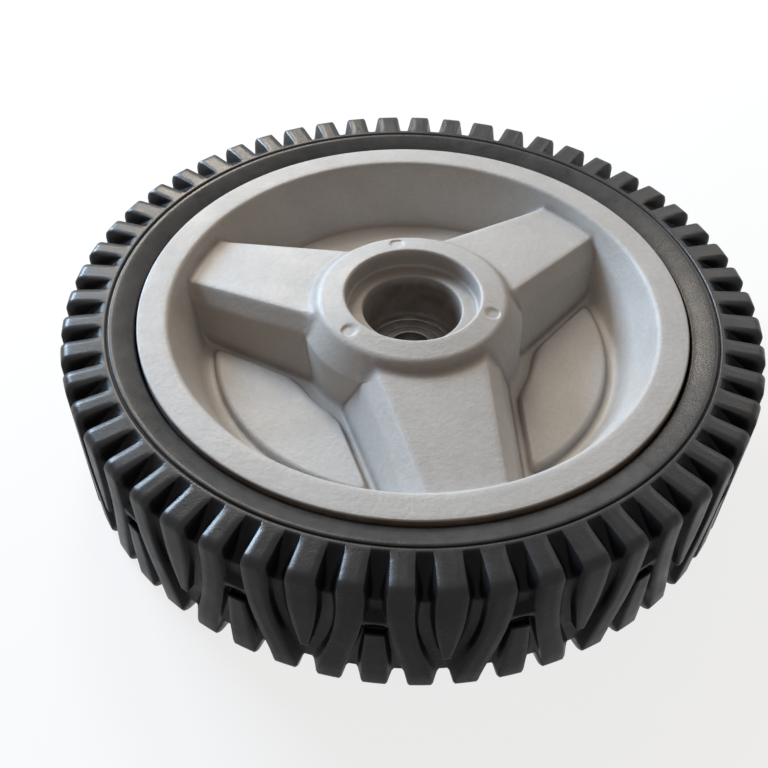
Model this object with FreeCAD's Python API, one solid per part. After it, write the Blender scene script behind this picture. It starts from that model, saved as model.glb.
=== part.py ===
import FreeCAD, Part
import math
import os

# Lawn mower wheel, lying flat with its outer face up. Millimetres and degrees.
# The axle runs along Z through the origin, and the tyre's underside is at z = 0.
# Angles round the wheel are counted from -Y, anticlockwise seen from above.

# Tyre
TREAD_DIAMETER = 203.2
TYRE_WIDTH = 44.45
TYRE_HEIGHT = 21.2
LUG_DEPTH = 5.2
LUG_REACH = 11.4
LUG_CORNER_RADIUS = 4.0
FLANK_LINE_INSET = 1.9
FLANK_LINE_WIDTH = 0.7
FLANK_LINE_DEPTH = 0.6
FLANK_DROP = 0.5
FLANK_DISH = 0.6
TYRE_PROUD = 1.1
TYRE_LIP_GAP = 0.6
TYRE_LIP_GAP_DEPTH = 2.5
TYRE_EDGE_RADIUS = 0.7

# Tread pattern: each pitch has a wedge, two legs that spread downwards, a web that joins the legs
# and a foot wedge in the arch under the web
PITCHES = 18
TREAD_ANGLE = 17.0
WEDGE_WIDTH = 7.3
WEDGE_TIP_WIDTH = 2.2
WEDGE_LENGTH = 29.5
LEG_WIDTH = 6.4
LEG_BEND_DEPTH = 16.0
FOOT_WEDGE_WIDTH = 6.6
FOOT_WEDGE_TIP_WIDTH = 4.6
FOOT_WEDGE_LENGTH = 26.0
ARCH_GAP = 4.4
WEB_FACE_HEIGHT = 1.2
WEB_DEPTH = 6.0
WEB_DROP = 0.4
LUG_WALL_SLOPE = 1.1
LUG_SINK = 0.8

# Rim
CHANNEL_DEPTH = 3.0
CHANNEL_WIDTH = 22.0
WALL = 3.5
LIP_WIDTH = 8.7
LIP_EDGE_RADIUS = 1.5
DISH_DEPTH = 19.3
DISH_WALL_RUN = 8.5
DISH_FOOT_RADIUS = 3.0
POCKET_WIDTH = 2.0
EDGE_RADIUS = 0.6

# Raised panels between the spokes
PANEL_LIP_GAP = 3.4
PANEL_HUB_GAP = 4.7
PANEL_RAISE = 1.9
PANEL_GAP = 2.4
PANEL_CORNER_RADIUS = 2.5
PANEL_EDGE_RADIUS = 0.7

# Spokes
SPOKES = 3
SPOKE_ANGLE = 13.6
SPOKE_WIDTH_AT_HUB = 29.6
SPOKE_WIDTH_AT_LIP = 20.2
SPOKE_DROP_AT_HUB = 1.5
SPOKE_DROP_AT_LIP = 5.0
SPOKE_BEVEL_WIDTH = 4.2
SPOKE_BEVEL_DROP = 4.5
SPOKE_FOOT_SPREAD = 4.4
SPOKE_EDGE_RADIUS = 1.6
SPOKE_FLARE = 1.5

# Hub
HUB_PROUD = 2.7
HUB_FACE_WIDTH = 7.9
HUB_CONE_RUN = 5.2
HUB_CONE_DROP = 8.6
HUB_DRAFT = 0.4
HUB_EDGE_RADIUS = 1.2
HUB_FOOT_RADIUS = 2.0
CAP_RECESS_WIDTH = 5.1
CAP_RECESS_DEPTH = 6.0
CAP_RECESS_FILLET = 1.0
HUB_BORE_CLEARANCE = 0.5125
DIMPLE_INSET = 4.5
DIMPLE_DIAMETER = 5.0
DIMPLE_DEPTH = 0.8

# Ribs on the hidden inner side
RIB_THICKNESS = 2.5
RIB_SETBACK = 3.0
HUB_RIBS = 6
LIP_RIBS = 12

# Ball bearings, half-inch axle size
AXLE_DIAMETER = 12.7
BEARING_DIAMETER = 28.575
BEARING_WIDTH = 7.94
BEARING_DEPTH = 21.7
BEARING_RECESS = 0.8
BEARING_STOP_HEIGHT = 1.9
BALL_DIAMETER = 3.969
BALLS = 9
RACE_SHOULDER = 0.8
RACE_CLEARANCE = 0.1
CAGE_THICKNESS = 1.4
CAGE_HEIGHT = 5.2
CAGE_POCKET_CLEARANCE = 0.15
SHIELD_THICKNESS = 0.4
SHIELD_RECESS = 0.4
SHIELD_SEAT = 0.7
SHIELD_GAP = 0.2
SPACER_WALL = 1.9

# Places worked out from the sizes above
TREAD_R = TREAD_DIAMETER / 2
GROOVE_R = TREAD_R - LUG_DEPTH
SHOULDER_R = TREAD_R - LUG_REACH
FLANK_LINE_R = SHOULDER_R - FLANK_LINE_INSET
TREAD_MID = TYRE_WIDTH / 2
RIM_R = TREAD_R - TYRE_HEIGHT
RIM_FACE = TYRE_WIDTH - TYRE_PROUD
RIM_BACK = TYRE_PROUD
CHANNEL_R = RIM_R - CHANNEL_DEPTH
CHANNEL_TOP = TREAD_MID + CHANNEL_WIDTH / 2
CHANNEL_BOTTOM = TREAD_MID - CHANNEL_WIDTH / 2
LIP_INNER_R = RIM_R - LIP_WIDTH
DISH_FLOOR_R = LIP_INNER_R - DISH_WALL_RUN
BARREL_INNER_R = CHANNEL_R - WALL
FLOOR = RIM_FACE - DISH_DEPTH
UNDERFLOOR = FLOOR - WALL
SEAT_R = BEARING_DIAMETER / 2
HUB_BORE_R = SEAT_R + HUB_BORE_CLEARANCE
CAP_R = HUB_BORE_R + CAP_RECESS_WIDTH
HUB_FACE_R = CAP_R + HUB_FACE_WIDTH
HUB_R = HUB_FACE_R + HUB_CONE_RUN
HUB_FACE = RIM_FACE + HUB_PROUD
CONE_FOOT = HUB_FACE - HUB_CONE_DROP
LEDGE = HUB_FACE - CAP_RECESS_DEPTH
TUBE_R = SEAT_R + WALL
STOP_R = SEAT_R - BEARING_STOP_HEIGHT
OUTBOARD_TOP = HUB_FACE - BEARING_DEPTH
OUTBOARD_BOTTOM = OUTBOARD_TOP - BEARING_WIDTH
INBOARD_BOTTOM = RIM_BACK + BEARING_RECESS
INBOARD_TOP = INBOARD_BOTTOM + BEARING_WIDTH
AXLE_R = AXLE_DIAMETER / 2
BALL_R = BALL_DIAMETER / 2
BALL_CIRCLE_R = (AXLE_R + SEAT_R) / 2
INNER_SHOULDER_R = BALL_CIRCLE_R - BALL_R + RACE_SHOULDER
OUTER_SHOULDER_R = BALL_CIRCLE_R + BALL_R - RACE_SHOULDER
SHIELD_SEAT_R = OUTER_SHOULDER_R + SHIELD_SEAT
PITCH_ANGLE = 360.0 / PITCHES
SPOKE_STEP = 360.0 / SPOKES

UP = FreeCAD.Vector(0, 0, 1)
CENTRE = FreeCAD.Vector(0, 0, 0)


def at_angle(radius, angle, z):
    """Point at a radius and an angle round the wheel."""
    turn = math.radians(angle)
    return FreeCAD.Vector(radius * math.sin(turn), -radius * math.cos(turn), z)


def turned(shape, angle):
    """Copy of a shape turned about the axle."""
    copy = shape.copy()
    copy.rotate(CENTRE, UP, angle)
    return copy


def round_the_wheel(shape, count, first_angle=0.0):
    """Copies of a shape at even steps round the axle."""
    return [turned(shape, first_angle + 360.0 * i / count) for i in range(count)]


def rounded_outline(corners):
    """Closed wire in the XZ plane through (radius, z, fillet) corners, each fillet limited by its edges."""
    points = [FreeCAD.Vector(r, 0, z) for r, z, fillet in corners]
    starts = []
    ends = []
    arcs = []
    for i, point in enumerate(points):
        back = points[i - 1] - point
        ahead = points[(i + 1) % len(points)] - point
        shorter = min(back.Length, ahead.Length)
        back.normalize()
        ahead.normalize()
        half_turn = back.getAngle(ahead) / 2
        reach = min(corners[i][2] / math.tan(half_turn), 0.45 * shorter)
        starts.append(point + back * reach)
        ends.append(point + ahead * reach)
        if reach > 0:
            middle = back + ahead
            middle.normalize()
            radius = reach * math.tan(half_turn)
            arcs.append(point + middle * (radius / math.sin(half_turn) - radius))
        else:
            arcs.append(None)
    edges = []
    for i in range(len(points)):
        if arcs[i] is not None:
            edges.append(Part.Arc(starts[i], arcs[i], ends[i]).toShape())
        edges.append(Part.LineSegment(ends[i], starts[(i + 1) % len(points)]).toShape())
    return Part.Wire(edges)


def turned_ring(corners, angle=360.0):
    """Solid of revolution about the axle from (radius, z, fillet) corners."""
    return Part.Face(rounded_outline(corners)).revolve(CENTRE, UP, angle)


def plain_ring(inner_r, outer_r, bottom, top):
    """Straight ring about the axle."""
    corners = [(inner_r, bottom, 0), (outer_r, bottom, 0), (outer_r, top, 0), (inner_r, top, 0)]
    return turned_ring(corners)


def solid_between(sections):
    """Solid with flat-sided skin through closed point lists, one section after another."""
    wires = [Part.makePolygon(section + section[:1]) for section in sections]
    return Part.makeLoft(wires, True, True)


def mirrored_up(corners):
    """The same corners on the other side of the tyre's middle plane, in reverse order."""
    return [(r, TYRE_WIDTH - z, fillet) for r, z, fillet in reversed(corners)]


def tyre_body(angle):
    """Tyre without its lugs: groove floor, flanks and the rib that locks into the rim's channel."""
    line_outer_r = FLANK_LINE_R + FLANK_LINE_WIDTH
    flank = TYRE_WIDTH - FLANK_DROP
    flank_inner = flank - FLANK_DISH
    bead_r = RIM_R + TYRE_LIP_GAP
    gap_foot = RIM_FACE - TYRE_LIP_GAP_DEPTH
    upper = [
        (GROOVE_R, TYRE_WIDTH - (GROOVE_R - SHOULDER_R), TYRE_EDGE_RADIUS),
        (SHOULDER_R, TYRE_WIDTH, 0),
        (line_outer_r, TYRE_WIDTH, 0),
        (line_outer_r, flank - FLANK_LINE_DEPTH, 0),
        (FLANK_LINE_R, flank - FLANK_LINE_DEPTH, 0),
        (FLANK_LINE_R, flank, 0),
        (bead_r, flank_inner, TYRE_EDGE_RADIUS),
        (bead_r, gap_foot, 0),
        (RIM_R, gap_foot, 0),
        (RIM_R, CHANNEL_TOP, 0),
        (CHANNEL_R, CHANNEL_TOP, 0),
    ]
    return turned_ring(upper + mirrored_up(upper), angle)


def lug_line():
    """Half of a lug's run, from the flank to the tread face: (top radius, z) and (foot radius, z) pairs."""
    corner = LUG_CORNER_RADIUS
    lean = math.radians(45)
    foot_r = GROOVE_R - LUG_SINK
    cone_foot = TYRE_WIDTH - (GROOVE_R - SHOULDER_R)
    bend = (TREAD_R - corner + corner * math.sin(lean), TYRE_WIDTH - corner + corner * math.cos(lean))
    return [
        ((SHOULDER_R, TYRE_WIDTH), (SHOULDER_R - LUG_SINK, TYRE_WIDTH - LUG_SINK)),
        ((TREAD_R - corner, TYRE_WIDTH), (foot_r - LUG_SINK, cone_foot)),
        (bend, (foot_r, cone_foot - LUG_SINK)),
        ((TREAD_R, TYRE_WIDTH - corner), (foot_r, cone_foot - 2 * LUG_SINK)),
    ]


def lug_section(top, foot, angle, width):
    """Four corners across a lug: the foot is wider than the top by the slope of the lug's walls."""
    drop = math.dist(top, foot)
    foot_width = width + 2 * LUG_WALL_SLOPE * drop / LUG_DEPTH
    points = []
    for (radius, z), half, side in (
        (foot, foot_width / 2, -1),
        (top, width / 2, -1),
        (top, width / 2, 1),
        (foot, foot_width / 2, 1),
    ):
        points.append(at_angle(radius, angle + side * math.degrees(half / TREAD_R), z))
    return points


def flipped(pair):
    """A place on a lug's run moved to the other side of the tyre's middle plane."""
    return tuple((radius, TYRE_WIDTH - z) for radius, z in pair)


def leg_lug(side):
    """Lug from flank to flank: straight down to its bend, then spreading to the side."""
    run = lug_line()
    bend = TYRE_WIDTH - LEG_BEND_DEPTH
    near = side * PITCH_ANGLE / 6
    far = side * PITCH_ANGLE / 3
    sections = [lug_section(top, foot, near, LEG_WIDTH) for top, foot in run]
    sections.append(lug_section((TREAD_R, bend), (GROOVE_R - LUG_SINK, bend), near, LEG_WIDTH))
    for top, foot in reversed(run):
        low_top, low_foot = flipped((top, foot))
        sections.append(lug_section(low_top, low_foot, far, LEG_WIDTH))
    return solid_between(sections)


def wedge_lug(angle, width, tip_width, length):
    """Lug that narrows from the outer flank to a tip on the tread face."""
    run = lug_line()
    tip = TYRE_WIDTH - length
    tip_foot = tip - LUG_WALL_SLOPE
    sections = [lug_section(top, foot, angle, width) for top, foot in run]
    straight = TYRE_WIDTH - length / 2
    sections.append(lug_section((TREAD_R, straight), (GROOVE_R - LUG_SINK, straight), angle, width))
    sections.append(lug_section((TREAD_R, tip), (GROOVE_R - LUG_SINK, tip_foot), angle, tip_width))
    return solid_between(sections)


def foot_wedge_lug():
    """The wedge between the legs, standing on the inner flank."""
    lug = wedge_lug(0.0, FOOT_WEDGE_WIDTH, FOOT_WEDGE_TIP_WIDTH, FOOT_WEDGE_LENGTH)
    return lug.mirror(FreeCAD.Vector(0, 0, TREAD_MID), UP)


def leg_web():
    """Web between the two legs: a ramp from the groove floor out to the tread face, ending at the arch."""
    half_width = TREAD_R * math.sin(math.radians(PITCH_ANGLE / 6))
    foot_r = GROOVE_R - LUG_SINK
    face_r = TREAD_R - WEB_DROP
    arch = FOOT_WEDGE_LENGTH + ARCH_GAP
    corners = [
        (foot_r, TYRE_WIDTH - WEB_DEPTH),
        (face_r, arch + WEB_FACE_HEIGHT),
        (face_r, arch),
        (foot_r, arch - LUG_WALL_SLOPE),
    ]
    outline = Part.makePolygon([FreeCAD.Vector(-half_width, -r, z) for r, z in corners + corners[:1]])
    return Part.Face(outline).extrude(FreeCAD.Vector(2 * half_width, 0, 0))


def tyre():
    """One pitch of the tyre with its lugs, repeated round the wheel and joined into one piece."""
    body = turned(tyre_body(PITCH_ANGLE), -90.0 - PITCH_ANGLE / 2)
    lugs = [leg_lug(-1), leg_lug(1), leg_web(), foot_wedge_lug()]
    for side in (-1, 1):
        lugs.append(wedge_lug(side * PITCH_ANGLE / 2, WEDGE_WIDTH, WEDGE_TIP_WIDTH, WEDGE_LENGTH))
    inside = CHANNEL_R - LUG_DEPTH
    outside = TREAD_R + LUG_DEPTH
    below = -LUG_DEPTH
    above = TYRE_WIDTH + LUG_DEPTH
    slice_corners = [(inside, below, 0), (outside, below, 0), (outside, above, 0), (inside, above, 0)]
    pitch_slice = turned(turned_ring(slice_corners, PITCH_ANGLE), -90.0 - PITCH_ANGLE / 2)
    pitch = body.multiFuse(lugs).common(pitch_slice)
    pitches = round_the_wheel(pitch, PITCHES, TREAD_ANGLE)
    return pitches[0].multiFuse(pitches[1:]).removeSplitter()


def dish_r(z):
    """Radius of the dish's sloping wall at a height."""
    slope = DISH_WALL_RUN / DISH_DEPTH
    return LIP_INNER_R - slope * (RIM_FACE - z)


def dish_back_r(z):
    """Radius of the back of the dish's wall at a height."""
    slope = DISH_WALL_RUN / DISH_DEPTH
    return dish_r(z) + WALL * math.hypot(1.0, slope)


def pocket_top():
    """Height where the hollow between the dish's wall and the barrel has narrowed to its least width."""
    slope = DISH_WALL_RUN / DISH_DEPTH
    room = BARREL_INNER_R - POCKET_WIDTH - dish_back_r(FLOOR)
    return min(FLOOR + room / slope, RIM_FACE - WALL)


def rim_shell():
    """The rim's turned shape: hub, dish, lip and barrel, with an even wall."""
    cone_slope = (HUB_R - HUB_FACE_R) / HUB_CONE_DROP
    cone_wall = WALL * math.hypot(1.0, cone_slope)
    hub_inner_r = HUB_R - WALL
    cone_inner_r = HUB_FACE_R + cone_slope * WALL - cone_wall
    cone_inner_foot = HUB_FACE - (hub_inner_r - HUB_FACE_R + cone_wall) / cone_slope
    pocket = pocket_top()
    front = [
        (SEAT_R, OUTBOARD_TOP, 0),
        (HUB_BORE_R, OUTBOARD_TOP, 0),
        (HUB_BORE_R, LEDGE, EDGE_RADIUS),
        (CAP_R, LEDGE, CAP_RECESS_FILLET),
        (CAP_R, HUB_FACE, EDGE_RADIUS),
        (HUB_FACE_R, HUB_FACE, HUB_EDGE_RADIUS),
        (HUB_R, CONE_FOOT, HUB_EDGE_RADIUS),
        (HUB_R + HUB_DRAFT, FLOOR, HUB_FOOT_RADIUS),
        (DISH_FLOOR_R, FLOOR, DISH_FOOT_RADIUS),
        (LIP_INNER_R, RIM_FACE, LIP_EDGE_RADIUS),
        (RIM_R, RIM_FACE, EDGE_RADIUS),
        (RIM_R, CHANNEL_TOP, 0),
        (CHANNEL_R, CHANNEL_TOP, 0),
        (CHANNEL_R, CHANNEL_BOTTOM, 0),
        (RIM_R, CHANNEL_BOTTOM, 0),
        (RIM_R, RIM_BACK, EDGE_RADIUS),
    ]
    back = [
        (BARREL_INNER_R, RIM_BACK, EDGE_RADIUS),
        (BARREL_INNER_R, pocket, EDGE_RADIUS),
        (dish_back_r(pocket), pocket, EDGE_RADIUS),
        (dish_back_r(UNDERFLOOR), UNDERFLOOR, DISH_FOOT_RADIUS),
        (hub_inner_r, UNDERFLOOR, EDGE_RADIUS),
        (hub_inner_r, cone_inner_foot, 0),
        (cone_inner_r, HUB_FACE - WALL, EDGE_RADIUS),
        (CAP_R + WALL, HUB_FACE - WALL, EDGE_RADIUS),
        (CAP_R + WALL, LEDGE - WALL, EDGE_RADIUS),
        (TUBE_R, LEDGE - WALL, EDGE_RADIUS),
        (TUBE_R, RIM_BACK, EDGE_RADIUS),
        (SEAT_R, RIM_BACK, 0),
        (SEAT_R, INBOARD_TOP, 0),
        (STOP_R, INBOARD_TOP, 0),
        (STOP_R, OUTBOARD_BOTTOM, 0),
        (SEAT_R, OUTBOARD_BOTTOM, 0),
    ]
    return turned_ring(front + back)


def dish_inside(thickness):
    """Solid that fills the dish, out to its wall and a given way into it."""
    bottom = UNDERFLOOR - WALL
    corners = [
        (0, bottom, 0),
        (dish_r(bottom) + thickness, bottom, 0),
        (dish_r(RIM_FACE) + thickness, RIM_FACE, 0),
        (0, RIM_FACE, 0),
    ]
    return turned_ring(corners)


def hub_inside(inset):
    """Solid that fills the hub, set in from its outer skin."""
    bottom = UNDERFLOOR - WALL
    corners = [
        (0, bottom, 0),
        (HUB_R - inset, bottom, 0),
        (HUB_R - inset, CONE_FOOT, 0),
        (HUB_FACE_R - inset, HUB_FACE, 0),
        (0, HUB_FACE, 0),
    ]
    return turned_ring(corners)


def spoke_line(hub_value, lip_value, r):
    """Value at a radius on a straight line through its values at the hub and at the lip."""
    share = (r - HUB_R) / (LIP_INNER_R - HUB_R)
    return hub_value + share * (lip_value - hub_value)


def spoke_half_widths(r):
    """Half widths of a spoke at a radius: flat top, bevel's foot, wall's foot; and the two upper heights."""
    top = spoke_line(SPOKE_WIDTH_AT_HUB, SPOKE_WIDTH_AT_LIP, r) / 2
    top_z = RIM_FACE - spoke_line(SPOKE_DROP_AT_HUB, SPOKE_DROP_AT_LIP, r)
    bevel = top + SPOKE_BEVEL_WIDTH
    bevel_z = top_z - SPOKE_BEVEL_DROP
    hub_drop = RIM_FACE - SPOKE_DROP_AT_HUB - SPOKE_BEVEL_DROP - FLOOR
    foot = bevel + SPOKE_FOOT_SPREAD * (bevel_z - FLOOR) / hub_drop
    return top, bevel, foot, top_z, bevel_z


def spoke_section(r, inset, base):
    """Cross-section of a spoke at a radius, set in by a wall, down to a base height."""
    top, bevel, foot, top_z, bevel_z = spoke_half_widths(r)
    lean = (foot - bevel) / (bevel_z - FLOOR)
    base_half = bevel + lean * (bevel_z - base)
    half = [(top - inset / 2, top_z - inset), (bevel - inset, bevel_z - inset / 2), (base_half - inset, base)]
    right = [FreeCAD.Vector(y, -r, z) for y, z in half]
    left = [FreeCAD.Vector(-y, -r, z) for y, z in reversed(half)]
    return right + left


def spoke_outside():
    """One spoke's outer form along -Y, with rounded upper edges, from the axle to past the lip."""
    base = FLOOR - WALL / 2
    solid = solid_between([spoke_section(0.0, 0.0, base), spoke_section(RIM_R, 0.0, base)])
    limit = 0.4 * math.hypot(SPOKE_BEVEL_WIDTH, SPOKE_BEVEL_DROP)
    long_edges = []
    for edge in solid.Edges:
        ends = [vertex.Point for vertex in edge.Vertexes]
        runs_along = abs(ends[0].y - ends[1].y) > LIP_INNER_R / 2
        if runs_along and max(ends[0].z, ends[1].z) > base + WALL:
            long_edges.append(edge)
    solid = solid.makeFillet(min(SPOKE_EDGE_RADIUS, limit), long_edges)
    return solid.cut(hub_inside(WALL / 2)).common(dish_inside(WALL / 2))


def spoke_flare():
    """Small sloping foot along both sides of a spoke, where it meets the floor of the dish."""
    base = FLOOR - WALL / 2
    sections = []
    for r in (0.0, RIM_R):
        low = spoke_half_widths(r)[2] + SPOKE_FLARE
        high = low - 2 * SPOKE_FLARE
        right = [(high, FLOOR + SPOKE_FLARE), (low, FLOOR), (low, base)]
        left = [(-y, z) for y, z in reversed(right)]
        sections.append([FreeCAD.Vector(y, -r, z) for y, z in right + left])
    return solid_between(sections).cut(hub_inside(WALL / 2)).common(dish_inside(WALL / 2))


def spoke_hollow():
    """The hollow behind one spoke, open to the back of the rim."""
    base = UNDERFLOOR - WALL / 2
    solid = solid_between([spoke_section(0.0, WALL, base), spoke_section(RIM_R, WALL, base)])
    return solid.cut(hub_inside(0.0)).common(dish_inside(0.0))


def panels():
    """Raised panels on the floor of the dish, one between each pair of spokes."""
    top = FLOOR + PANEL_RAISE
    ring = plain_ring(HUB_R + PANEL_HUB_GAP, DISH_FLOOR_R - PANEL_LIP_GAP, FLOOR - WALL / 2, top)
    near = spoke_half_widths(0.0)[2] + PANEL_GAP
    far = spoke_half_widths(RIM_R)[2] + PANEL_GAP
    plan = [(near, 0.0), (far, -RIM_R), (-far, -RIM_R), (-near, 0.0)]
    outline = [FreeCAD.Vector(x, y, UNDERFLOOR) for x, y in plan]
    lane = Part.Face(Part.makePolygon(outline + outline[:1])).extrude(UP * DISH_DEPTH)
    pads = ring.cut(round_the_wheel(lane, SPOKES, SPOKE_ANGLE))
    rounded = []
    for pad in pads.Solids:
        upright = [e for e in pad.Edges if abs(e.tangentAt(e.FirstParameter).z) > 0.9]
        pad = pad.makeFillet(PANEL_CORNER_RADIUS, upright)
        upper = [e for e in pad.Edges if abs(e.CenterOfMass.z - top) < 1e-6]
        rounded.append(pad.makeFillet(min(PANEL_EDGE_RADIUS, 0.8 * PANEL_RAISE), upper))
    return rounded


def radial_rib(profile):
    """Upright rib in the XZ plane from (radius, z) corners, centred on its thickness."""
    points = [FreeCAD.Vector(r, -RIB_THICKNESS / 2, z) for r, z in profile]
    return Part.Face(Part.makePolygon(points + points[:1])).extrude(FreeCAD.Vector(0, RIB_THICKNESS, 0))


def ribs():
    """Ribs round the bearing tube and in the hollow behind the lip."""
    hub_rib = [
        (TUBE_R - WALL / 2, RIM_BACK + RIB_SETBACK),
        (HUB_R - WALL / 2, UNDERFLOOR),
        (HUB_R - WALL / 2, CONE_FOOT),
        (CAP_R + WALL / 2, LEDGE - WALL / 2),
        (TUBE_R - WALL / 2, LEDGE - WALL / 2),
    ]
    pocket = pocket_top()
    lip_rib = [
        (BARREL_INNER_R + WALL / 2, RIM_BACK + RIB_SETBACK),
        (BARREL_INNER_R + WALL / 2, pocket + WALL / 2),
        (dish_back_r(pocket) - WALL / 2, pocket + WALL / 2),
        (dish_back_r(UNDERFLOOR) - WALL / 2, UNDERFLOOR + WALL / 2),
    ]
    first = SPOKE_ANGLE + SPOKE_STEP / 4
    hub_ribs = round_the_wheel(radial_rib(hub_rib), HUB_RIBS, first)
    lip_ribs = round_the_wheel(radial_rib(lip_rib), LIP_RIBS, first)
    return hub_ribs + lip_ribs


def dimples():
    """Shallow round marks on the hub's face, midway between the spokes."""
    ball_r = (DIMPLE_DIAMETER ** 2 / 4 + DIMPLE_DEPTH ** 2) / (2 * DIMPLE_DEPTH)
    centre_z = HUB_FACE + ball_r - DIMPLE_DEPTH
    mark = Part.makeSphere(ball_r, at_angle(CAP_R + DIMPLE_INSET, SPOKE_STEP / 2, centre_z))
    return round_the_wheel(mark, SPOKES, SPOKE_ANGLE)


def rim():
    """Moulded rim in one piece: hub, spokes, dish, panels, lip, barrel and ribs."""
    spokes = round_the_wheel(spoke_outside(), SPOKES, SPOKE_ANGLE)
    flares = round_the_wheel(spoke_flare(), SPOKES, SPOKE_ANGLE)
    hollows = round_the_wheel(spoke_hollow(), SPOKES, SPOKE_ANGLE)
    solid = rim_shell().multiFuse(spokes + flares + panels() + ribs())
    return solid.cut(hollows + dimples()).removeSplitter()


def race_groove(radius, z):
    """Ring of the ball's section that cuts a raceway."""
    return Part.makeTorus(BALL_CIRCLE_R, radius, FreeCAD.Vector(0, 0, z), UP)


def outer_ring(bottom):
    """Bearing's outer ring: raceway inside and a step for a shield at each end."""
    top = bottom + BEARING_WIDTH
    step = SHIELD_RECESS + SHIELD_THICKNESS
    corners = [
        (SHIELD_SEAT_R, bottom, 0),
        (SEAT_R, bottom, 0),
        (SEAT_R, top, 0),
        (SHIELD_SEAT_R, top, 0),
        (SHIELD_SEAT_R, top - step, 0),
        (OUTER_SHOULDER_R, top - step, 0),
        (OUTER_SHOULDER_R, bottom + step, 0),
        (SHIELD_SEAT_R, bottom + step, 0),
    ]
    return turned_ring(corners).cut(race_groove(BALL_R + RACE_CLEARANCE, bottom + BEARING_WIDTH / 2))


def inner_ring(bottom):
    """Bearing's inner ring, bored for the axle, with its raceway outside."""
    ring = plain_ring(AXLE_R, INNER_SHOULDER_R, bottom, bottom + BEARING_WIDTH)
    return ring.cut(race_groove(BALL_R + RACE_CLEARANCE, bottom + BEARING_WIDTH / 2))


def shield(z):
    """Thin shield seated in the outer ring's step, clear of the inner ring."""
    return plain_ring(INNER_SHOULDER_R + SHIELD_GAP, SHIELD_SEAT_R, z, z + SHIELD_THICKNESS)


def ball_at(radius, bottom):
    """Sphere at the first ball's place."""
    return Part.makeSphere(radius, at_angle(BALL_CIRCLE_R, 0.0, bottom + BEARING_WIDTH / 2))


def balls(bottom):
    """The bearing's balls, as separate solids."""
    return Part.makeCompound(round_the_wheel(ball_at(BALL_R, bottom), BALLS))


def cage(bottom):
    """Ring that keeps the balls apart, with a pocket for each."""
    low = bottom + (BEARING_WIDTH - CAGE_HEIGHT) / 2
    inner_r = BALL_CIRCLE_R - CAGE_THICKNESS / 2
    ring = plain_ring(inner_r, inner_r + CAGE_THICKNESS, low, low + CAGE_HEIGHT)
    return ring.cut(round_the_wheel(ball_at(BALL_R + CAGE_POCKET_CLEARANCE, bottom), BALLS))


def bearing(name, bottom):
    """All pieces of one bearing, by node name."""
    top = bottom + BEARING_WIDTH
    return {
        name + "_outer_ring": outer_ring(bottom),
        name + "_inner_ring": inner_ring(bottom),
        name + "_balls": balls(bottom),
        name + "_cage": cage(bottom),
        name + "_upper_shield": shield(top - SHIELD_RECESS - SHIELD_THICKNESS),
        name + "_lower_shield": shield(bottom + SHIELD_RECESS),
    }


def spacer_sleeve():
    """Sleeve that keeps the two inner rings apart on the axle."""
    return plain_ring(AXLE_R, AXLE_R + SPACER_WALL, INBOARD_TOP, OUTBOARD_BOTTOM)


def main():
    os.makedirs("parts", exist_ok=True)
    pieces = {"rim": rim(), "tyre": tyre(), "spacer_sleeve": spacer_sleeve()}
    pieces.update(bearing("outboard", OUTBOARD_BOTTOM))
    pieces.update(bearing("inboard", INBOARD_BOTTOM))
    for name, shape in pieces.items():
        shape.exportStep("parts/" + name + ".step")
        print(name, len(shape.Solids), shape.isValid(), round(shape.Volume, 1))


main()
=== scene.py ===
import math
from types import SimpleNamespace

import bpy
import numpy as np
from bpy.props import FloatProperty, FloatVectorProperty, IntProperty, PointerProperty
from mathutils import Matrix, Vector


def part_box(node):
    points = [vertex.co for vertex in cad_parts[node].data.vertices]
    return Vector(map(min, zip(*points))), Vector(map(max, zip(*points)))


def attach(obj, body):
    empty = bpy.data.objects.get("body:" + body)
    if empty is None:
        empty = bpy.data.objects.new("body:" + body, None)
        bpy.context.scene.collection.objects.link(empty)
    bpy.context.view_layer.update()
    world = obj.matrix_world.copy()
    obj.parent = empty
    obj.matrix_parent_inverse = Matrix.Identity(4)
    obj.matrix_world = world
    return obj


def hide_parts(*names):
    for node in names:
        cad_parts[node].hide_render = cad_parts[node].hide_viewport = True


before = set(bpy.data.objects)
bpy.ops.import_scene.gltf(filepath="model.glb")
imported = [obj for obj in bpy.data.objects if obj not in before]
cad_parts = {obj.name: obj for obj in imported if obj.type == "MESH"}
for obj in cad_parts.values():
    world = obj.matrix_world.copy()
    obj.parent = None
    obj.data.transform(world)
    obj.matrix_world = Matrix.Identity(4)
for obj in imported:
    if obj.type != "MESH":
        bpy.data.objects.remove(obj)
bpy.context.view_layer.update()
TYRE_LOW, TYRE_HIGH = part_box("tyre")
RIM_LOW, RIM_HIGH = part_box("rim")
OUTBOARD_LOW, OUTBOARD_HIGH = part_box("outboard_outer_ring")
INBOARD_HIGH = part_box("inboard_outer_ring")[1]

bl_info = {
    "name": "Mower Wheel",
    "version": (1, 0, 0),
    "blender": (4, 5, 0),
    "location": "3D View > Sidebar > Wheel",
    "description": "Dresses the packed solids of a lawn mower wheel",
    "category": "Object",
}

MM = 0.001
HUB_PROUD = 2.7
LIP_FACE = RIM_HIGH.z / MM - HUB_PROUD
WHITE = (1.0, 1.0, 1.0, 1.0)


def size(name, description, default):
    """A length that a user may change, with its default in millimetres."""
    return FloatProperty(name=name, description=description, default=default * MM, precision=5,
                         unit="LENGTH", subtype="DISTANCE")


def turn(name, description, degrees):
    """An angle that a user may change."""
    return FloatProperty(name=name, description=description, default=math.radians(degrees),
                         unit="ROTATION", subtype="ANGLE")


def paint(name, description, default):
    """A colour that a user may change, in linear light."""
    return FloatVectorProperty(name=name, description=description, default=(*default, 1.0), size=4,
                               min=0.0, max=1.0, subtype="COLOR")


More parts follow.
